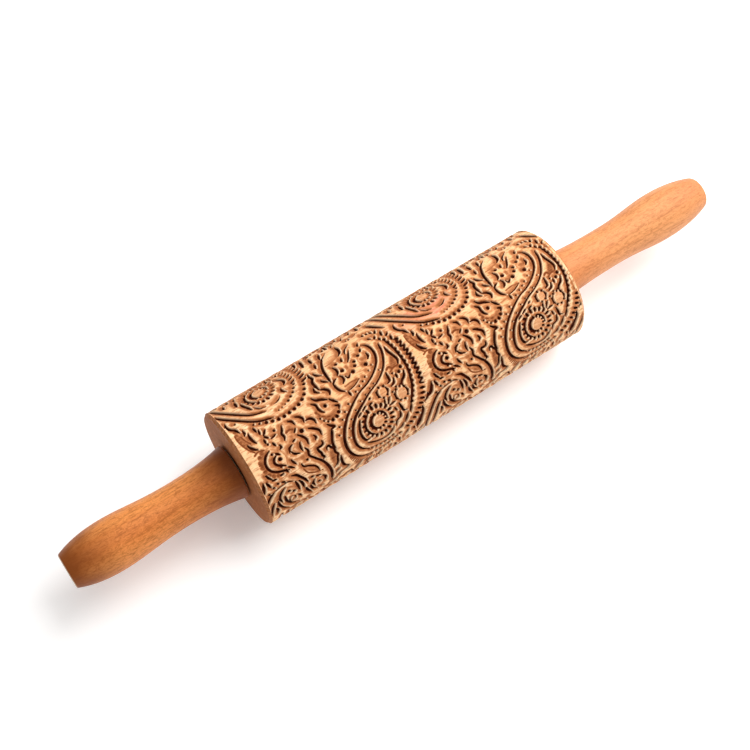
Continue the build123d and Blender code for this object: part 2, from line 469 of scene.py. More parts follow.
def draw_leaning_lining(art):
    """The broken lines inside the leaning teardrop, its rosette, and the flowers up its tail."""
    draw_rosette(art, (22.5, -16.5))
    art.grooves(
        [(13.5, -16), (14, -13), (15, -10.5), (15.7, -8.5)], [(12.2, -20.5), (11.7, -15)],
        [(7.4, -23), (6.9, -19)], [(13.2, -25), (12.6, -21.5)], [(10.2, -27), (9.8, -22.5)],
        [(31, -19.5), (33, -17.5), (34.3, -15), (34, -13), (33.2, -12)], [(31, -11), (31, -9), (32, -7.5)],
        [(34.3, -25), (33.6, -21.5)], width=1.25, shade=-1)
    art.grooves([(16.8, -9.2), (18.8, -6.8), (21, -6)], [(24.5, -5.1), (26.5, -5.6), (28.5, -7)], width=0.8)
    art.graze([(18, -8), (23, -6), (28.5, -7.6)], 2.4, side=-1, strength=0.4)
    draw_daisy(art, (15, 51), 2.2, 9)
    draw_daisy(art, (23.5, 54.5), 1.7, 7)
    art.grooves(
        [(6.5, 46), (6.2, 51), (7, 56), (8.6, 60)], [(9.8, 46.5), (9.4, 50), (9.9, 53)],
        [(17, 44.8), (20, 47.3), (22.4, 50.4)], [(27, 47), (27.6, 50), (30, 53.5)],
        [(31, 55), (32.6, 58.5), (33.2, 62)], [(12.5, 56), (13.6, 58.8), (16.5, 61)],
        [(18.6, 57), (20, 59.6)], [(27.5, 57.5), (27, 60.5)], width=1.2, shade=1)


def draw_curled_tip(art):
    """The tip of the leaning teardrop, curled in on itself like a fern."""
    art.grooves(
        [(10.4, 30), (8, 32), (6.9, 34.2), (7.4, 37)], [(5.8, 35), (6, 38), (7.5, 41.3), (9.8, 43.8)],
        [(9.3, 34.3), (9.5, 38), (11.2, 41), (15, 43.3)], [(4.1, 38.3), (4.8, 40.6), (4.2, 43)],
        [(15.3, 26.6), (17.3, 27.6), (18.4, 29.2), (19.7, 31.3), (20.8, 34)],
        [(15.7, 30), (16.1, 32.3), (16.4, 35.6)], [(17.4, 30.6), (18.3, 33), (18.6, 36)],
        [(15.3, 37.8), (16.3, 40.3)], [(19.2, 36.6), (19.8, 39.5), (21.2, 42)], width=1.25, shade=1)
    art.ring((12.3, 38.3), 1.5, width=0.6)
    art.dots((11.8, 33), (13.8, 34.4), radius=0.8)
    art.graze([(10, 30.5), (12.3, 30.2), (14.8, 31.5)], 2.4, strength=0.6)
    art.graze([(7.5, 30.6), (4.5, 33.4), (3.4, 37.5)], 2.0, strength=0.5)
    art.fill([(0.5, 27), (1.6, 24), (3.4, 22), (5.8, 21.4), (5.6, 24.6), (3.6, 26.8)], strength=0.85)
    art.fill(
        [(13.4, 28.6), (16, 29.4), (18, 32), (19, 35.4), (17, 36.6), (15, 33), (13.6, 31)], strength=0.6)
    art.groove([(-1, 28.8), (0.8, 27.4), (2.3, 25), (3, 22.6)], [1.2, 1.9, 1.6, 0.9])
    art.grooves(
        [(4.4, 23.6), (5.2, 26)], [(5.6, 20.4), (6.1, 21.8), (6.9, 23)], [(7.2, 23.9), (8.6, 24.1)],
        [(11.2, 23.8), (12.4, 23.6)], [(10.6, 26.8), (11.5, 27.4)], [(14.3, 22.6), (14.6, 24)], width=1.15,
        tip=0.7)
    art.dots((6.3, 27.2), (8.6, 26.4), (3.4, 29), radius=0.6)
    art.graze([(5, 20), (6, 23), (9, 25), (15, 24.8)], 2.6, side=-1, strength=0.55)


def draw_flame_leaf(art):
    """A flame-shaped leaf and sprigs by the left rim."""
    art.fill(
        [(4, -3.4), (5.6, -0.6), (6.2, 1.6), (7.4, 4), (8, 6.6), (6.4, 7.6), (5, 8.4), (3.8, 6), (3.2, 2),
         (3.1, -1)],
        strength=0.6)
    art.lobes([(4, -2.6), (3.6, 1), (4, 4.6), (5.4, 7.8)], 1.7, 1.2, 0.7)
    art.grooves(
        [(2.7, -9.3), (2.4, -7), (3.3, -5), (4.7, -3.6), (5.6, -1.5)], [(7.1, -1.6), (7, 0.2), (6.5, 1)],
        [(8.2, 1), (8, 3), (8.4, 5), (9, 6.3)], [(5.3, 5.3), (6, 7), (7.3, 8.5), (8, 9)], width=1.2)
    art.scratch([(3.1, -1), (2.9, 1), (3.4, 4), (4.6, 7), (6.3, 9.4)], 0.4, 1.0)
    art.scratch([(5, 0.6), (5.6, 3), (6.8, 5.2)], 0.4, 0.9)
    art.grooves(
        [(11.2, 0), (11.6, 2)], [(12.6, 2), (12.3, 3.7)], [(14.8, 3.3), (13.3, 5)],
        [(13.2, 5.7), (14.3, 6.9)], [(12.4, 6.8), (12.3, 8.3)], width=1.05, tip=0.7)
    art.graze([(11.2, 0), (12, 4), (12.4, 8)], 1.8, strength=0.5)
    art.dots((12.7, 9.3), (12.3, -1.5), (14.6, -0.5), (6, -6.3), radius=0.5)


def draw_shell_flower(art):
    """A flower whose petals wind round its eye like a shell."""
    art.lobes([(8.6, 11.2), (6.6, 13), (5.9, 16), (6.2, 19), (7.8, 21.6), (10.4, 23)], 2.0, 1.4, 0.7)
    art.fill(
        [(9.4, 13.6), (11, 14.2), (10.4, 16.4), (10.2, 18.6), (11.4, 20.6), (9.6, 20.2), (8.4, 18),
         (8.4, 15.4)],
        [(20.2, 20.6), (22.2, 19.8), (24.4, 20.3), (24.7, 22.3), (23.2, 23.4), (21.3, 22.8)],
        [(17.2, 18.4), (19, 19.2), (19.4, 21.6), (17.8, 21), (16.9, 19.8)])
    art.grooves(
        [(13.5, 15), (11.8, 16.1), (11.2, 17.5), (12, 19), (13.8, 20.2), (15, 21)],
        [(11.5, 12), (9.3, 13.3), (7.8, 15.5), (7.6, 17.8), (8.6, 20), (10.5, 21.5), (13, 22.5),
         (15.5, 23.4)],
        [(15.5, 22), (17.8, 23.8)], [(18, 20), (18.5, 21.5), (19.2, 22.8)], [(13.6, 14.3), (15, 15.6)],
        [(14.7, 9.7), (15.3, 11.5)], [(16.8, 12), (17, 13), (16, 13.8)], width=1.1)
    art.graze([(13, 12.5), (15.6, 14.6), (16.4, 17.5), (15.6, 20.3)], 2.0, side=-1, strength=0.5)
    art.scratch([(5.5, 10.6), (7.4, 9.9), (10, 10.5)], 0.5, 0.9)
    art.scratch([(5.2, 15.2), (6.4, 15.6), (7, 15.4)], 0.4, 0.9)
    art.scratch([(5.4, 18.4), (6.6, 18.2), (7.2, 18.4)], 0.4, 0.9)
    art.dots((14.1, 17.3), radius=0.85)
    art.dots((12, 13.8), (13, 20.5), radius=0.55)


def draw_blossom(art):
    """The open blossom with curled petals."""
    art.fill(
        [(25, 12.8), (26.4, 14.2), (27.2, 16.2), (26.8, 18), (25.4, 16.8), (24.2, 14.6)],
        [(30.4, 13), (32.6, 14.4), (33.8, 16.2), (33.4, 17.6), (31.6, 15), (30, 14.6)],
        [(31, 9.6), (33, 9.8), (34.2, 11), (33.8, 12.6), (31.8, 12)],
        [(28, 6.2), (29.6, 6.8), (30.2, 8.4), (28.6, 9.2), (27.4, 7.8)],
        [(22.4, 6), (24.8, 6.2), (26, 8), (24.2, 9.4), (22, 8.6)],
        [(16, 6.6), (18.4, 6.4), (19.2, 8.6), (17.6, 9.6), (15.8, 8.6)],
        [(21.6, 10.2), (23.8, 10.2), (24.6, 12), (22.8, 13), (21.2, 12)])
    art.grooves(
        [(24.8, 5.2), (26.2, 6), (26.8, 7.8)], [(28.5, 5.2), (30, 6), (30.9, 7.5), (30.6, 9)],
        [(31.5, 8.8), (33.5, 9), (34.7, 10.3), (34.8, 12)],
        [(30.8, 12.3), (33, 13.7), (34.5, 15.3), (34.4, 17.4)], [(31.3, 15.9), (31.8, 17), (31, 18.1)],
        [(25.5, 12.3), (27, 14), (27.9, 16), (27.6, 18)], width=1.1, shade=1)
    art.grooves(
        [(21.6, 5.3), (20.9, 7), (20, 8.5), (20.3, 10), (19.6, 11.5)],
        [(21.3, 14.6), (19.7, 15.5), (18.9, 17.2)], [(19.6, 17), (20.5, 18.5), (22.5, 19.5)],
        [(24.7, 15.4), (24.1, 17.3), (24.2, 19.3)], width=1.1, shade=-1)
    art.grooves(
        [(22.3, 13.8), (23.4, 13.3)], [(25.9, 9.5), (24.8, 10.7)], [(15.3, 7.9), (17.5, 7.3)], width=0.85,
        tip=0.7)
    art.scratch([(21.8, 9), (23.4, 8.6), (24.8, 9.2)], 0.6, 1.0)
    art.graze([(22, 9), (24.5, 8.6)], 2.6, side=-1, strength=0.6)
    art.graze([(15.5, 5.5), (17.6, 5), (19.4, 6.5)], 2.2, strength=0.5)
    art.graze([(19.5, 20.2), (22, 21), (24, 20.6)], 2.2, strength=0.5)
    art.dots((27.8, 11.7), radius=0.95)
    art.dots((18, 5.5), (24.2, 23.8), radius=0.6)


def draw_vine(art):
    """The vine below the blossom, with its leaves and bud."""
    art.groove(
        [(25.5, 18.7), (26.2, 20.3), (25.7, 22.2), (27.5, 25), (29.8, 28), (31.2, 31), (32, 34), (32.3, 37),
         (31.8, 42)],
        [1.1, 1.0, 1.2, 1.4, 1.4])
    art.grooves(
        [(33.3, 19.8), (33, 21.3), (32, 21.8), (30.3, 21.8), (30.2, 23), (30.8, 24.5), (30.9, 26),
         (31.5, 27), (30.5, 27.7)],
        [(33.5, 24.8), (34, 23.7), (35, 23.5), (35.6, 24.6), (36.6, 26), (36.6, 28), (37.3, 29.3),
         (36.7, 31), (36.3, 33), (35, 34.8), (33.8, 35.3)],
        width=1.1, shade=1)
    art.groove([(21.1, 24), (21.5, 25.5), (24, 26.9), (26.2, 28.5), (27, 30), (27.3, 31.7)], 0.9)
    art.scratch([(21, 26.5), (22, 29), (24.5, 30.9), (27, 31.8), (28.6, 32.1)], 0.4, 0.9)
    art.fill(
        [(21.4, 25.6), (22.8, 26.6), (25, 28), (26.8, 30), (26.6, 31.5), (24, 30.6), (22.2, 28.8)],
        [(33.2, 25.4), (35.2, 25), (36.3, 27), (36.6, 30), (35.8, 32.5), (33.8, 33.6), (32.8, 30.4)],
        [(38.9, 17), (38, 19.6), (37, 22.6), (35.8, 20.6), (36.4, 18)],
        [(30.6, 18.4), (32.4, 19.4), (31.6, 21.2), (30, 21), (28.8, 19.8)], strength=0.65)
    art.graze([(21.6, 25.8), (24, 27.2), (26.2, 29), (27, 31.4)], 2.8, strength=0.6)
    art.grooves(
        [(39.5, 17.5), (38.3, 20), (37.2, 22.5), (37, 24.6), (37.4, 26)],
        [(38.6, 15), (39.8, 16.3), (41, 17.3), (39.5, 17.8)],
        [(38.2, 31), (38, 34), (38.8, 37.8), (40.6, 39.2)], [(36.2, 37.3), (33.8, 39.3)],
        [(40.8, 39.4), (39, 40.6), (36, 41.2), (35, 42.8)], width=1.25)
    art.graze([(39.6, 16.6), (38.2, 20), (37, 23)], 3.0, strength=0.75)
    art.graze([(38.3, 32), (38.3, 36), (40, 39)], 1.6, strength=0.6)


def draw_low_daisy(art):
    """The small daisy below the vine."""
    centre = (25.7, 37.8)
    art.graze(arc_points(centre, 1.8, 0, 360), 2.0, side=-1, strength=0.6)
    art.dot(centre, 0.85)
    art.grooves(
        [(23.9, 34.8), (22.8, 36.8), (23.4, 39)], [(25, 33.7), (27, 34.6)],
        [(27.9, 35.3), (29, 37.3), (28.5, 39.6)], [(25.4, 41.6), (27.2, 42)],
        [(21.5, 37), (22, 40), (24, 41.8)], [(22.5, 33), (24, 32.8)], width=1.35)


def draw_carnation(art):
    """A carnation with a ringed eye and a shaded fan of petals below it."""
    centre = np.array([41.9, 7.7])
    art.fill(
        [(36.8, 5.4), (38.2, 8), (39.6, 10.2), (42, 10.8), (44.4, 9.8), (46.4, 11), (45.6, 12.8),
         (43.4, 14), (40.4, 14.4), (38, 13), (36.4, 9.6)],
        [(38.4, 2.6), (41.5, 3.8), (44.3, 5.6), (45.6, 8), (44.4, 8.6), (43.4, 6.2), (41, 5.2), (39.4, 6.4)],
        strength=0.6)
    art.lobes([(37, 8.4), (37.8, 11.4), (39.8, 13.6), (42.6, 13.9), (45, 12.6)], 1.7, 1.1, 0.8)
    for turn in (100, 125, 150):
        art.scratch(arc_points(centre + (0.6, -0.4), 5.4, turn, 12), 0.4, 0.95)
    art.spare(centre, 2.2)
    art.dot(centre, 0.8)
    art.grooves(
        [(37.2, 4), (38.6, 5.3), (38.7, 7.3), (39.3, 9), (40.2, 9.9)], [(44.9, 6), (46.2, 7.7), (47.3, 9)],
        [(38.6, 1.8), (39.8, 3.5), (42, 4.5), (44.2, 5.8)], [(45.6, 9.8), (47, 10.6), (46.4, 11.8)],
        width=1.15)
    art.dots((45.6, 12.9), (44, 14.2), (41.8, 14.6), radius=0.75)
    art.dots((37.2, 11.4), (38.2, 13), (39.6, 14.2), radius=0.45)


def draw_climber(art):
    """The stem and curled leaf above the carnation."""
    art.groove([(43.9, -9.7), (43.8, -8), (44.3, -6.5), (43.4, -5), (43.3, -2), (43.7, 0)], 1.25)
    art.grooves(
        [(42, -1.8), (41.7, 0), (43, 1.5)], [(43.9, 0.3), (46, 1.5), (46.9, 3), (46.3, 4.6)],
        [(45.9, -8.6), (46.8, -6.5), (48.3, -5.3)], [(46.6, -3.3), (47.3, -2.2), (48.8, -1)],
        [(46.3, -24), (45.6, -19), (45, -15.5)], [(49.4, -20), (49, -15)], [(49.2, -13.4), (48.6, -10.3)],
        [(54, -19), (52.9, -14.6)], [(43.6, -26), (42.8, -20)], width=1.25)
    art.fill([(41.8, -1.6), (43, 0.6), (45.4, 1.8), (46.6, 4.2), (44.4, 3.4), (42.4, 2)], strength=0.95)
    art.fill([(44.6, -10), (46.4, -9), (48, -6), (49, -5.2), (47, -4.4), (45.6, -6)], strength=0.5)
    art.graze([(46.8, -3.2), (48.8, -1)], 1.6)
    art.graze([(46, -8), (46.8, -6), (48.4, -5)], 1.2, strength=0.5)


def draw_tendril(art):
    """The tendril that runs up the left of the teardrop's tail, with its bud."""
    art.groove(
        [(56.3, -16.5), (53.5, -14), (51.5, -10.5), (50.3, -7), (49.9, -3), (49.8, 0)],
        [0.8, 1.1, 1.2, 1.1])
    art.grooves(
        [(50.1, 0.8), (50.3, 3.5), (51, 5.3), (52.5, 6.8)], [(50.2, 1.3), (51.3, 0.2), (52.3, -0.1)],
        [(53.7, 7.7), (53.9, 9.7)], width=1.05)
    art.scratch([(53.5, 5.1), (57, 4.7), (60.5, 5.2)], 0.4, 0.7)
    art.groove([(53.5, 7.4), (57, 6.8), (60.5, 5.3)], 0.5)
    art.graze([(48.5, 8.3), (51.5, 8), (53.6, 9)], 1.6, strength=0.6)
    art.grooves(
        [(61.6, -17), (61.9, -14), (61.2, -11.5), (59.7, -10)], [(58.9, -26), (58.7, -22), (58.6, -19)],
        [(57, -21.8), (56.7, -19.3)], [(52.8, -25.5), (52, -22.6)], width=1.2)
    art.scratch([(59.7, -10), (57, -9), (54, -8.3), (51.5, -8.3)], 0.4, 0.6)
    art.graze([(61.6, -15), (61, -11.8), (59, -9.8), (55, -8.3)], 3.4, strength=0.5)


def draw_sky(art):
    """The buds and dashes that fill the space above the tendril and the teardrop's tail."""
    art.grooves(
        [(61.3, -20.6), (60.6, -18.6)], [(65, -26), (64.3, -22)], [(67.3, -22.3), (66.2, -19.6)],
        [(72.3, -25), (70.8, -21)], [(76, -26.5), (75.3, -20)], [(73, -18.3), (70.9, -17.3)],
        [(79, -27), (78.4, -23)], [(68.6, -28.5), (68, -25)], width=1.15, shade=-1)
    art.ring((68.2, -16.9), 0.9, width=0.5)
    draw_daisy(art, (60, -34), 2.0, 9)
    draw_daisy(art, (70.5, -35.5), 1.6, 7)
    art.grooves(
        [(50, -38), (52.5, -34), (53.3, -30)], [(45.5, -37), (47, -33.5), (47.6, -30)],
        [(41.5, -41), (43.2, -37.5)], [(64.5, -41), (65.8, -36), (65, -31)],
        [(75.5, -40.5), (76, -35.5), (74.6, -31)], [(56, -41), (55, -38)], [(79.6, -37), (79.4, -32)],
        [(60.5, -29.3), (62.4, -27.6)], width=1.2, shade=1)


def draw_neck_fillers(art):
    """Leaves, crescents and dots in the space between the tendril and the teardrop's tail."""
    art.grooves(
        [(54.2, -6), (55, -4), (54.5, -2), (53.8, -1.3)],
        [(54.5, -0.5), (55.3, 0.8), (54.9, 2.3), (53.8, 3.3)], [(70, -3.8), (70, -2), (69, -0.7)],
        width=1.1)
    art.groove([(56.4, 1), (57.2, 2.2), (58.6, 1.3)], 1.0)
    art.graze([(54.2, -6), (54.8, -4), (54.3, -1.8)], 2.4, strength=0.9)
    art.graze([(54.5, -0.5), (55.2, 0.8), (54.6, 2.6)], 2.2, strength=0.9)
    art.graze([(56.2, 0.4), (57.4, 0), (58.6, 0.8)], 1.8, strength=0.7)
    art.grooves(
        [(66.5, -13.5), (65, -12.5), (63.7, -11.5), (62.5, -9)],
        [(64.8, -10), (63.3, -7.5), (62.3, -5.8), (61, -4.3)], width=0.85)
    art.graze([(66.3, -13.5), (63.8, -11), (62.5, -8.5), (61, -4.3)], 1.8, strength=0.7)
    art.graze([(70.6, -9.5), (69.6, -7), (70.2, -4.5)], 1.8, strength=0.55)
    art.grooves(
        [(69.1, -7.3), (68.3, -5.8)], [(59.7, -7.8), (59.2, -6.2)], [(69.8, -10.8), (69.2, -9.2)],
        width=1.1, tip=0.7)
    art.fill(
        [(52.6, -5.6), (54.2, -4.8), (54, -2), (52.8, -1.4), (52, -3.4)],
        [(52.6, 0), (54.6, 0.2), (54.6, 2.2), (53, 3)],
        [(65, -3.4), (67.6, -3.6), (69.4, -2.6), (68.6, -0.4), (66.4, 0.2), (65, -1.4)],
        [(57.6, -3.6), (59.6, -4.4), (60.8, -2), (59.6, -0.2), (57.8, -0.6)])
    art.dots((56.8, -2.1), (60.3, 1), (66.8, 1), radius=0.92)
    art.dots((62.5, -1), (63.4, -3), (66.4, -4.7), (56.3, -6.6), radius=0.75)
    art.graze(arc_points((66.8, -2), 1.6, 60, 200), 1.3, side=-1, strength=0.6)


def draw_crown_dashes(art):
    """The short dashes that fan out round the top of the teardrop's tail."""
    art.groove([(79.2, -19.8), (81.3, -15), (84.2, -10.8)], [1.6, 1.6, 1.0])
    art.graze([(78.5, -20), (80.4, -15.5), (83, -12)], 2.0, strength=0.5)
    art.grooves(
        [(74.3, -14.3), (74.3, -13)], [(76.2, -14), (76.2, -12.8)], [(77.7, -13.5), (78, -12)],
        [(74.9, -10), (75.7, -9)], [(77.9, -9.3), (77.2, -7.8)], [(78.9, -7.2), (78.8, -5.8)],
        [(79.9, -12.4), (79.1, -10.6)], [(81.4, -10.1), (80.8, -7.6)], [(83.3, -7.4), (82.2, -6.2)],
        [(83.6, -5.2), (83, -3)], [(84.6, -2.6), (84, -0.6)], width=1.15, tip=0.7)
    art.graze([(72.5, -11.5), (75.5, -11), (78, -9)], 2.0, side=-1, strength=0.45)


def draw_root_leaves(art):
    """The long leaf strokes to the lower right of the teardrop, and the ones that hang below it."""
    art.groove([(80.3, 31), (80.3, 33.5), (79.3, 35.8), (77.6, 39), (77, 42)], [0.9, 1.5, 1.9, 2.8, 2.6])
    art.graze([(80, 32), (79.5, 35), (78, 38), (77.7, 41)], 2.2, strength=0.6)
    art.grooves(
        [(84.6, 26.5), (84.2, 28), (82, 30)], [(71.6, 39.8), (70.8, 41.5), (69.4, 43.4)],
        [(74.4, 40.5), (75, 43.2)], [(76.2, 40.8), (76.6, 43)], [(47.5, 42), (45, 44.5), (43.8, 47.5)],
        [(52, 43.6), (50, 46.4), (49.4, 49)], [(57.5, 44), (56, 47)], [(62.5, 43.6), (62, 47)],
        [(66.7, 42.4), (67.2, 46)], [(79.6, 44.5), (78.4, 47.6), (76, 49.5)], width=1.3, shade=1)
    art.dot((76.6, 42), 1.0)


def draw_small_leaves(art):
    """Leaves and dots scattered between the two teardrops, on the side away from the viewer."""
    for start, end, width in (((28.5, 45), (34.2, 43), 2.4), ((36.6, 45.6), (42, 44.6), 2.2),
                              ((41.2, 51), (44.6, 57), 2.4), ((48.6, 51.5), (50.2, 58.5), 2.4),
                              ((54.2, 63), (57, 58), 2.4), ((60.3, 60.2), (62.6, 65.4), 1.8),
                              ((69.6, 55.4), (72.2, 60.4), 2.4), ((10.6, 45), (16.2, 45.8), 1.8),
                              ((25.6, 60.6), (20.4, 61), 1.8), ((29.2, 60.6), (30.4, 66.2), 1.8),
                              ((49.2, 64.8), (50.4, 60.2), 1.8), ((77.2, 56.6), (80.4, 58.8), 1.6),
                              ((54.6, 50), (55.2, 56), 1.8), ((3.4, 55), (4.8, 62), 1.6)):
        draw_leaf(art, start, end, width)
    art.dots(
        (31, 47.4), (33.4, 47), (44.6, 60), (46.4, 58.4), (52.4, 58.8), (58.6, 57), (66.6, 57), (66, 59),
        (73.8, 57.4), (18.4, 47.4), (17.6, 62.4), (24.6, 49), (26, 51.2), (20, 44.4), (71.6, 46.2),
        (69.2, 45), (59.6, 46.6), (56.4, 47.8), radius=0.55)


MOTIFS = (draw_paisley, draw_paisley_lining, draw_paisley_flowers, draw_paisley_border, draw_leaning_paisley,
          draw_leaning_lining, draw_curled_tip, draw_flame_leaf, draw_shell_flower, draw_blossom, draw_vine,
          draw_low_daisy, draw_carnation, draw_climber, draw_tendril, draw_sky, draw_neck_fillers,
          draw_crown_dashes, draw_root_leaves, draw_small_leaves)


def drawn_engraving():
    """The whole repeat, with every motif on it."""
    art = Engraving()
    for draw in MOTIFS:
        draw(art)
    return art


# The barrel.

def barrel_rings(art):
    """The barrel's rings of points, from its left bore over its skin to its right bore.

    Returns each ring's u, each point's radius, cut and scorch, and how many rings at each end are plain."""
    around = art.rows * REPEATS
    u = np.arange(art.columns * REPEATS + 1) * art.step_u
    u = u[(u > RIM_CHAMFER) & (u < BARREL_LENGTH - RIM_CHAMFER)]
    u = np.concatenate([[RIM_CHAMFER], u, [BARREL_LENGTH - RIM_CHAMFER]])
    column = np.round(u / art.step_u).astype(int) % art.columns
    row = np.arange(around) % art.rows
    from_rim = np.minimum(u, BARREL_LENGTH - u)[:, None]
    v = ((row * art.step_v - PLAIN_FROM) % TILE_GIRTH + PLAIN_FROM)[None, :]
    patterned = (from_rim > PLAIN_BAND) | (v > PLAIN_TO)
    fade = np.clip((from_rim - RIM_CHAMFER) / RIM_FADE, 0, 1) * patterned
    cut = art.cut[np.ix_(column, row)] * fade
    scorch = art.scorch[np.ix_(column, row)] * fade
    radius = BARREL_RADIUS - GROOVE_DEPTH * cut - GRAZE_DEPTH * scorch * (1 - cut)
    end = [(COUNTERBORE_DEPTH, BORE_RADIUS),
           (COUNTERBORE_DEPTH, COUNTERBORE_RADIUS),
           (0.0, COUNTERBORE_RADIUS),
           (0.0, BARREL_RADIUS - RIM_CHAMFER)]
    plain_u = np.array([place for place, _ in end])
    plain_radius = np.repeat(np.array([size for _, size in end])[:, None], around, axis=1)
    blank = np.zeros_like(plain_radius)
    return (np.concatenate([plain_u, u, BARREL_LENGTH - plain_u[::-1]]),
            np.concatenate([plain_radius, radius, plain_radius[::-1]]),
            np.concatenate([blank, cut, blank]),
            np.concatenate([blank, scorch, blank]),
            len(end))


def grid_faces(rings, around):
    """Quads between each ring and the next, and from the last back to the first."""
    ring, place = np.meshgrid(np.arange(rings), np.arange(around), indexing="ij")
    next_ring = (ring + 1) % rings
    next_place = (place + 1) % around
    corners = [ring * around + place, ring * around + next_place,
               next_ring * around + next_place, next_ring * around + place]
    return np.stack(corners, axis=-1).reshape(-1, 4)


def mesh_of_quads(name, points, faces):
    """A mesh made from arrays of points and four-cornered faces."""
    mesh = bpy.data.meshes.new(name)
    mesh.vertices.add(len(points))
    mesh.vertices.foreach_set("co", points.astype(np.float32).ravel())
    mesh.loops.add(faces.size)
    mesh.loops.foreach_set("vertex_index", faces.astype(np.int32).ravel())
    mesh.polygons.add(len(faces))
    mesh.polygons.foreach_set("loop_start", np.arange(0, faces.size, 4, dtype=np.int32))
    mesh.update(calc_edges=True)
    return mesh


def add_values(mesh, name, values):
    """Stores one number per point of a mesh, for its material to read."""
    attribute = mesh.attributes.new(name, "FLOAT", "POINT")
    attribute.data.foreach_set("value", values.astype(np.float32).ravel())


def lay_out_skin(mesh, u, radius):
    """Lays the barrel's skin out flat for baking, with the hidden bore squeezed into a narrow strip."""
    rings, around = radius.shape
    travel = np.hypot(np.diff(u), np.diff(radius.max(axis=1)))
    across = np.concatenate([[0.0], np.cumsum(travel), [travel.sum() + BORE_STRIP]])
    across /= across[-1]
    ring, place = np.meshgrid(np.arange(rings), np.arange(around), indexing="ij")
    corners = [(ring, place), (ring, place + 1), (ring + 1, place + 1), (ring + 1, place)]
    flat = np.stack([np.stack([across[i], j / around], axis=-1) for i, j in corners], axis=2)
    layer = mesh.uv_layers.new(name="OFBake")
    layer.data.foreach_set("uv", flat.astype(np.float32).ravel())


def add_barrel(material):
    """Adds the engraved barrel, cut to the depth of the drawn pattern."""
    art = drawn_engraving()
    u, radius, cut, scorch, end_rings = barrel_rings(art)
    rings, around = radius.shape
    angle = np.arange(around) * art.step_v / BARREL_RADIUS
    x = BARREL_LOW.x + np.repeat(u[:, None], around, axis=1) * MM
    y = -radius * np.sin(angle) * MM
    z = radius * np.cos(angle) * MM
    points = np.stack([x, y, z], axis=-1).reshape(-1, 3)
    mesh = mesh_of_quads("embossed_barrel", points, grid_faces(rings, around))
    # Painted highlight: a pale sliver on the side of each groove towards the main lamp, for light caught on
    # its edge.
    painted_highlight = np.clip(np.roll(cut, PAINTED_HIGHLIGHT_SHIFT, axis=(0, 1)) - cut, 0, 1)
    # Keeps the painted highlight beside the last grooves off the plain right end.
    painted_highlight[-end_rings:] = 0
    add_values(mesh, "cut", cut)
    add_values(mesh, "scorch", scorch)
    add_values(mesh, "painted_highlight", painted_highlight)
    lay_out_skin(mesh, u, radius)
    ring_of_face = np.repeat(np.arange(rings), around)
    engraved = (ring_of_face >= end_rings) & (ring_of_face < rings - end_rings - 1)
    mesh.polygons.foreach_set("use_smooth", engraved)
    mesh.materials.append(material)
    piece = bpy.data.objects.new("embossed_barrel", mesh)
    bpy.context.scene.collection.objects.link(piece)
    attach(piece, "roller")
    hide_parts("barrel")


# Materials.

def tone(red, green, blue):
    """A colour given as it looks on a screen, from 0 to 255, as the linear values that shaders use."""
    shares = np.array([red, green, blue]) / 255
    linear = np.where(shares <= 0.04045, shares / 12.92, ((shares + 0.055) / 1.055) ** 2.4)
    return (*linear, 1.0)


# The length of one repeat of Blender's wave texture at a scale of 1.
WAVE_PERIOD = math.pi / 10

# The woods: colours, where their noise is taken from, the middle of the tree in metres, the width of
# a year's growth, and how strongly short dark flecks show, up to 1.

BEECH = dict(
    pale=tone(255, 214, 166),
    warm=tone(242, 184, 130),
    line=tone(176, 106, 64),
    shift=(0.31, 0.12, 0.07),
    pith=(0, 0.021, -0.048),
    growth=3.1 * MM,
    flecked=0.8,
)
# The left handle's wood is darker than the right's: partly its own more orange colour and partly painted
# shade, as the left handle gets less light.
LEFT_HANDLE_WOOD_AND_PAINTED_SHADE = dict(
    pale=tone(232, 150, 82),
    warm=tone(206, 120, 58),
    line=tone(132, 66, 22),
    shift=(0.7, 0.3, 0.2),
    pith=(0, 0.03, -0.02),
    growth=4.2 * MM,
    flecked=0.4,
)
RIGHT_HANDLE_WOOD = dict(
    pale=tone(226, 156, 100),
    warm=tone(212, 138, 86),
    line=tone(166, 94, 54),
    shift=(0.1, 0.6, 0.5),
    pith=(0, -0.02, -0.035),
    growth=4.2 * MM,
    flecked=0.4,
)
# How strongly each handle's ends are darkened with painted shade and its end faces worn pale, up to 1; the
# left handle, in the barrel's shadow, takes most.
LEFT_END_SHADE_AND_WEAR = 0.95
RIGHT_END_SHADE_AND_WEAR = 0.35

MOTTLED_TAN = tone(214, 146, 102)
STAIN_PINK = tone(230, 124, 106)
SMOKE_LIGHT = tone(192, 122, 76)
SMOKE_DARK = tone(126, 66, 32)
# A painted highlight: the pale sliver beside each groove, for light caught on its edge.
PAINTED_HIGHLIGHT_PALE = tone(255, 226, 186)
CHAR_BLACK = tone(38, 8, 1)
CHAR_BROWN = tone(84, 28, 8)
END_LIGHT = tone(166, 90, 38)
END_DARK = tone(134, 68, 26)
WORN_PALE = tone(244, 214, 178)


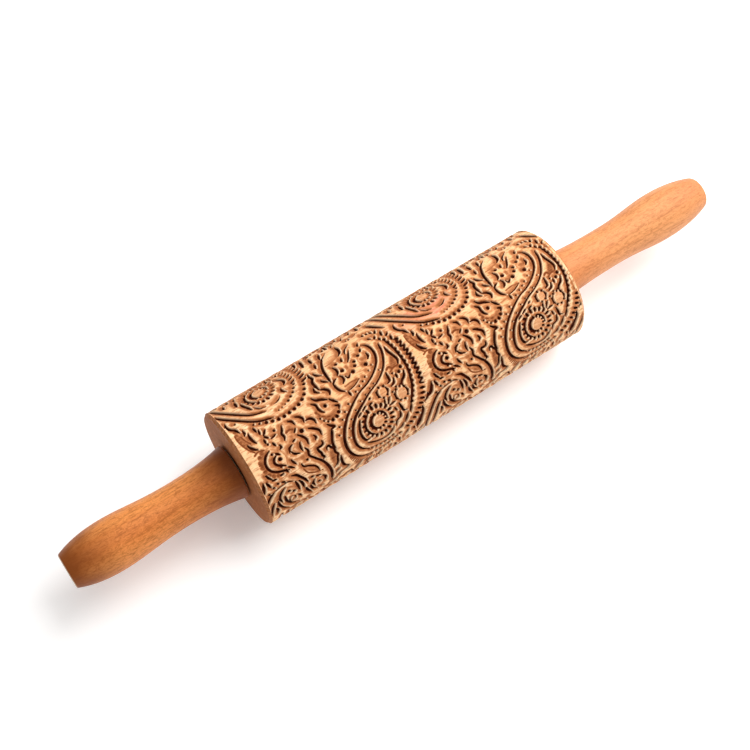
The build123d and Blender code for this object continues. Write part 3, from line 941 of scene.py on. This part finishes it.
class Finish:
    """A material's node tree, with short ways to add nodes and join them."""

    def __init__(self, name):
        self.material = bpy.data.materials.new(name)
        self.material.use_nodes = True
        self.tree = self.material.node_tree
        self.tree.nodes.clear()
        self.shader = self.add("ShaderNodeBsdfPrincipled", {})
        output = self.add("ShaderNodeOutputMaterial", {"Surface": self.shader.outputs["BSDF"]})
        output.is_active_output = True
        self.place = self.add("ShaderNodeTexCoord", {}).outputs["Object"]

    def feed(self, node, values):
        """Sets a node's inputs: another node's output is joined, and anything else is a constant."""
        for name, value in values.items():
            if isinstance(value, bpy.types.NodeSocket):
                self.tree.links.new(value, node.inputs[name])
            else:
                node.inputs[name].default_value = value

    def add(self, kind, values, **settings):
        """Adds a node of a kind, with its inputs and its settings."""
        node = self.tree.nodes.new(kind)
        for name, value in settings.items():
            setattr(node, name, value)
        self.feed(node, values)
        return node

    def attribute(self, name):
        """A number stored on the mesh."""
        return self.add("ShaderNodeAttribute", {}, attribute_name=name).outputs["Fac"]

    def combine(self, operation, first, second=0.0):
        """The result of a maths operation on one or two numbers."""
        return self.add("ShaderNodeMath", {0: first, 1: second}, operation=operation).outputs[0]

    def times(self, first, second):
        """One number multiplied by another."""
        return self.combine("MULTIPLY", first, second)

    def plus(self, first, second):
        """One number added to another."""
        return self.combine("ADD", first, second)

    def rest(self, share):
        """What a share leaves of 1."""
        return self.combine("SUBTRACT", 1.0, share)

    def stretched(self, scale, shift):
        """Object coordinates, shifted and then scaled, per metre, along each axis."""
        moved = self.add("ShaderNodeVectorMath", {0: self.place, 1: shift}, operation="ADD")
        scaled = self.add("ShaderNodeVectorMath", {0: moved.outputs[0], 1: scale}, operation="MULTIPLY")
        return scaled.outputs[0]

    def noise(self, scale, shift=(0, 0, 0), detail=3.0, swirl=0.0):
        """Smooth noise whose features are about a metre divided by scale along each axis."""
        values = {"Vector": self.stretched(scale, shift), "Scale": 1.0, "Detail": detail,
                  "Distortion": swirl}
        return self.add("ShaderNodeTexNoise", values).outputs["Fac"]

    def rings(self, spacing, pith):
        """Growth rings round a pith line that runs along X, by their spacing in metres."""
        values = {"Vector": self.stretched((0.25, 1, 1), pith), "Scale": WAVE_PERIOD / spacing,
                  "Distortion": 1.5, "Detail": 2.0, "Detail Scale": 0.4}
        return self.add("ShaderNodeTexWave", values, wave_type="RINGS", rings_direction="X").outputs["Fac"]

    def bands(self, spacing, wander):
        """Fine bands across X, by their spacing in metres and how much they wander."""
        values = {"Vector": self.place, "Scale": WAVE_PERIOD / spacing, "Distortion": wander}
        return self.add("ShaderNodeTexWave", values, wave_type="BANDS", bands_direction="X").outputs["Fac"]

    def step(self, value, low, high):
        """A value turned into 0 below low, 1 above high and a smooth rise between."""
        values = {"Value": value, "From Min": low, "From Max": high}
        return self.add("ShaderNodeMapRange", values, interpolation_type="SMOOTHSTEP").outputs["Result"]

    def blend(self, share, first, second):
        """The first colour turning to the second as share goes from 0 to 1."""
        values = {"Fac": share, "Color1": first, "Color2": second}
        return self.add("ShaderNodeMixRGB", values).outputs["Color"]

    def paint(self, colour, tint, value, low, high, most=1.0):
        """A colour turned towards a tint, not at all below low and by most of the way above high."""
        return self.blend(self.times(self.step(value, low, high), most), colour, tint)

    def facing_along(self):
        """How nearly the surface faces along X: 1 on an end face, 0 on a side."""
        facing = self.add("ShaderNodeTexCoord", {}).outputs["Normal"]
        along = self.add("ShaderNodeSeparateXYZ", {"Vector": facing}).outputs["X"]
        return self.combine("ABSOLUTE", along)

    def bump(self, height, distance, below=None):
        """A bump of a height in metres, on top of another one if it is given."""
        values = {"Height": height, "Distance": distance, "Strength": 1.0}
        if below is not None:
            values["Normal"] = below
        return self.add("ShaderNodeBump", values).outputs["Normal"]

    def finished(self, colour, roughness, normal, constants):
        """The material, once its shader has its inputs."""
        varying = {"Base Color": colour, "Roughness": roughness, "Normal": normal}
        self.feed(self.shader, varying | constants)
        return self.material


def wood_colour(finish, pale, warm, line, shift, pith, growth, flecked):
    """Wood with grain along X: soft rings, streaks and flecks. Returns its colour and a grain height."""
    broad = finish.noise((12, 60, 60), shift, detail=2.0)
    streak = finish.noise((40, 900, 900), shift, detail=4.0)
    fleck = finish.noise((260, 1300, 1300), shift, swirl=0.6)
    colour = finish.paint(pale, warm, broad, 0.35, 0.7)
    colour = finish.paint(colour, warm, finish.rings(growth, pith), 0.35, 1.0, 0.35)
    colour = finish.paint(colour, line, streak, 0.5, 0.75, 0.45)
    colour = finish.paint(colour, line, fleck, 0.5, 0.66, flecked)
    height = finish.plus(finish.times(streak, 0.6), finish.times(fleck, -0.4))
    return colour, height


def stain_share(finish, mottle):
    """How strongly a faint pink stain shows: a soft patch on the top of the barrel, past its middle."""
    offset = finish.add("ShaderNodeVectorMath", {0: finish.place, 1: STAIN_CENTRE}, operation="SUBTRACT")
    scaled = finish.add("ShaderNodeVectorMath", {0: offset.outputs[0], 1: STAIN_REACH}, operation="DIVIDE")
    away = finish.add("ShaderNodeVectorMath", {0: scaled.outputs[0]}, operation="LENGTH").outputs["Value"]
    clear = finish.step(finish.plus(away, mottle), 0.9, 2.0)
    return finish.times(finish.rest(clear), 0.6)


def engraved_beech():
    """Pale beech, burnt almost black where it is cut deep and browned where it is only grazed, with a
    painted highlight beside each groove.
    """
    finish = Finish("engraved_beech")
    cut = finish.attribute("cut")
    scorch = finish.attribute("scorch")
    painted_highlight = finish.attribute("painted_highlight")
    mottle = finish.noise((500, 500, 500), (0.2, 0.4, 0.1))
    raster = finish.noise((260, 2600, 2600), (0.5, 0.2, 0.3), detail=2.0)

    colour, grain = wood_colour(finish, **BEECH)
    end_colour = finish.blend(finish.rings(END_RING_SPACING, BEECH["pith"]), END_LIGHT, END_DARK)
    colour = finish.paint(colour, end_colour, finish.facing_along(), 0.3, 0.75, 0.85)
    colour = finish.paint(colour, MOTTLED_TAN, mottle, 0.45, 0.7, 0.35)
    colour = finish.blend(stain_share(finish, mottle), colour, STAIN_PINK)

    patchy = finish.plus(finish.times(mottle, 0.9), finish.times(raster, 0.9))
    smoke = finish.times(scorch, finish.plus(patchy, 0.3))
    # The painted highlight beside each groove clears the browning and lightens the wood.
    smoke = finish.times(smoke, finish.rest(painted_highlight))
    colour = finish.paint(colour, SMOKE_LIGHT, smoke, 0.08, 0.5)
    colour = finish.paint(colour, SMOKE_DARK, smoke, 0.4, 1.0)
    colour = finish.blend(finish.times(painted_highlight, 0.65), colour, PAINTED_HIGHLIGHT_PALE)

    char = finish.step(finish.plus(cut, finish.times(mottle, 0.2)), 0.3, 0.85)
    charred = finish.paint(CHAR_BLACK, CHAR_BROWN, mottle, 0.35, 0.7)
    colour = finish.blend(char, colour, charred)

    hatch = finish.times(finish.bands(HATCH_SPACING, 0.4), finish.step(scorch, 0.1, 0.5))
    relief = finish.bump(hatch, 0.05 * MM, finish.bump(grain, 0.06 * MM))
    roughness = finish.plus(finish.times(char, 0.22), finish.times(mottle, 0.12))
    roughness = finish.plus(roughness, 0.52)
    return finish.finished(colour, roughness, relief, {"Specular IOR Level": 0.05})


def turned_handle_wood(node, wood, end_shade_and_wear):
    """A turned and oiled handle, with a curly figure; its ends are darkened with painted shade and its end
    faces worn pale, each by a share up to 1.
    """
    finish = Finish(f"{node}_wood")
    colour, grain = wood_colour(finish, **wood)
    curl = finish.noise((330, 620, 620), wood["shift"], swirl=2.4)
    colour = finish.paint(colour, wood["line"], curl, 0.5, 0.62, 0.3)
    colour = finish.paint(colour, wood["pale"], curl, 0.42, 0.32, 0.4)

    # Painted shade: darker towards both ends, for the barrel's shadow over the root and the tip turning away
    # from the main lamp.
    low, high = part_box(node)
    half = (high.x - low.x) / 2
    along = finish.add("ShaderNodeSeparateXYZ", {"Vector": finish.place}).outputs["X"]
    from_middle = finish.combine("ABSOLUTE", finish.combine("SUBTRACT", along, low.x + half))
    patch = finish.noise((70, 110, 110), wood["shift"], detail=4.0)
    reach = finish.plus(from_middle, finish.times(patch, 0.02))
    colour = finish.paint(colour, wood["line"], reach, half * 0.55, half * 1.3, end_shade_and_wear)
    colour = finish.paint(colour, WORN_PALE, finish.facing_along(), 0.5, 0.85, 0.74 * end_shade_and_wear)

    relief = finish.bump(finish.bands(LATHE_SPACING, 1.5), 0.006 * MM, finish.bump(grain, 0.08 * MM))
    roughness = finish.plus(finish.times(grain, 0.25), 0.42)
    return finish.finished(colour, roughness, relief, {"Specular IOR Level": 0.14})


def turned_metal(name, bright, dull, roughness):
    """Metal with the fine rings that a lathe tool leaves."""
    finish = Finish(name)
    patina = finish.noise((150, 400, 400), detail=5.0)
    colour = finish.paint(bright, dull, patina, 0.35, 0.7)
    polish = finish.plus(finish.times(patina, 0.2), roughness)
    relief = finish.bump(finish.bands(LATHE_SPACING, 0.6), 0.01 * MM)
    return finish.finished(colour, polish, relief, {"Metallic": 1.0})


def moulded_nylon(name, light, dark):
    """Nylon with a fine moulded grain."""
    finish = Finish(name)
    cloud = finish.noise((200, 200, 200), detail=4.0)
    grain = finish.noise((4000, 4000, 4000), detail=2.0)
    colour = finish.blend(cloud, light, dark)
    roughness = finish.plus(finish.times(grain, 0.2), 0.35)
    return finish.finished(colour, roughness, finish.bump(grain, 0.02 * MM), {})


def dress(node, material):
    """Gives a CAD node a better material."""
    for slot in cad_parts[node].material_slots:
        slot.material = material


def dress_fittings():
    """Materials for the handles, and for the fittings inside that show only when it is taken apart."""
    dress("left_handle", turned_handle_wood("left_handle", LEFT_HANDLE_WOOD_AND_PAINTED_SHADE, LEFT_END_SHADE_AND_WEAR))
    dress("right_handle", turned_handle_wood("right_handle", RIGHT_HANDLE_WOOD, RIGHT_END_SHADE_AND_WEAR))
    steel = turned_metal("turned_steel", tone(200, 202, 205), tone(160, 162, 168), 0.22)
    brass = turned_metal("turned_brass", tone(226, 188, 112), tone(186, 148, 84), 0.28)
    bush_nylon = moulded_nylon("natural_nylon", tone(232, 228, 214), tone(208, 203, 188))
    washer_nylon = moulded_nylon("black_nylon", tone(26, 25, 25), tone(14, 13, 13))
    dress("axle_rod", steel)
    for side in ("left", "right"):
        dress(f"{side}_threaded_insert", brass)
        dress(f"{side}_bush", bush_nylon)
        dress(f"{side}_thrust_washer", washer_nylon)


# The studio.

def matte(name, colour):
    """Plain matt paper, very slightly uneven, with a faint glow that keeps it white."""
    finish = Finish(name)
    cloud = finish.noise((3, 3, 3), detail=2.0)
    shade = finish.blend(cloud, colour, tone(250, 249, 248))
    finish.feed(finish.shader, {"Base Color": shade, "Roughness": 0.9, "Specular IOR Level": 0.1,
                                "Emission Color": (1, 1, 1, 1), "Emission Strength": PAPER_GLOW})
    return finish.material


def lay_floor():
    """A pale floor that the barrel rests on."""
    corners = ((-1, -1), (1, -1), (1, 1), (-1, 1))
    points = np.array([(x * FLOOR_REACH, y * FLOOR_REACH, FLOOR_HEIGHT) for x, y in corners])
    mesh = mesh_of_quads("studio_floor", points, np.array([[0, 1, 2, 3]]))
    mesh.materials.append(matte("studio_paper", tone(246, 245, 244)))
    floor = bpy.data.objects.new("studio_floor", mesh)
    bpy.context.scene.collection.objects.link(floor)


def direction(azimuth, elevation):
    """The unit vector towards an azimuth and elevation in degrees: azimuth 0 is at -Y, 90 at +X."""
    a = math.radians(azimuth)
    e = math.radians(elevation)
    return Vector((math.sin(a) * math.cos(e), -math.cos(a) * math.cos(e), math.sin(e)))


def face_back(item, towards):
    """Turns a camera or light so that it looks back along a direction."""
    item.rotation_mode = "QUATERNION"
    item.rotation_quaternion = towards.to_track_quat("Z", "Y")


def softbox(name, azimuth, elevation, distance, size, watts):
    """A large square lamp aimed at the barrel."""
    lamp = bpy.data.lights.new(name, "AREA")
    lamp.size = size
    lamp.energy = watts
    item = bpy.data.objects.new(name, lamp)
    bpy.context.scene.collection.objects.link(item)
    towards = direction(azimuth, elevation)
    item.location = towards * distance
    face_back(item, towards)


def light_studio():
    """A main lamp to the right, a fill over the camera, and an even white surround."""
    softbox("main_softbox", **MAIN_LAMP)
    softbox("fill_softbox", **FILL_LAMP)
    world = bpy.data.worlds.new("studio_surround")
    world.use_nodes = True
    background = world.node_tree.nodes["Background"]
    background.inputs["Color"].default_value = (1, 1, 1, 1)
    background.inputs["Strength"].default_value = SURROUND_STRENGTH
    bpy.context.scene.world = world


def set_camera():
    """A camera that looks down on the barrel's near side from the left."""
    lens = bpy.data.cameras.new("camera")
    lens.lens = CAMERA_LENS
    lens.sensor_width = CAMERA_SENSOR
    camera = bpy.data.objects.new("camera", lens)
    bpy.context.scene.collection.objects.link(camera)
    towards = direction(CAMERA_AZIMUTH, CAMERA_ELEVATION)
    camera.location = CAMERA_AIM + towards * CAMERA_DISTANCE
    face_back(camera, towards)
    bpy.context.scene.camera = camera


set_camera()
lay_floor()
light_studio()
add_barrel(engraved_beech())
dress_fittings()
bpy.context.scene.view_settings.view_transform = "Standard"
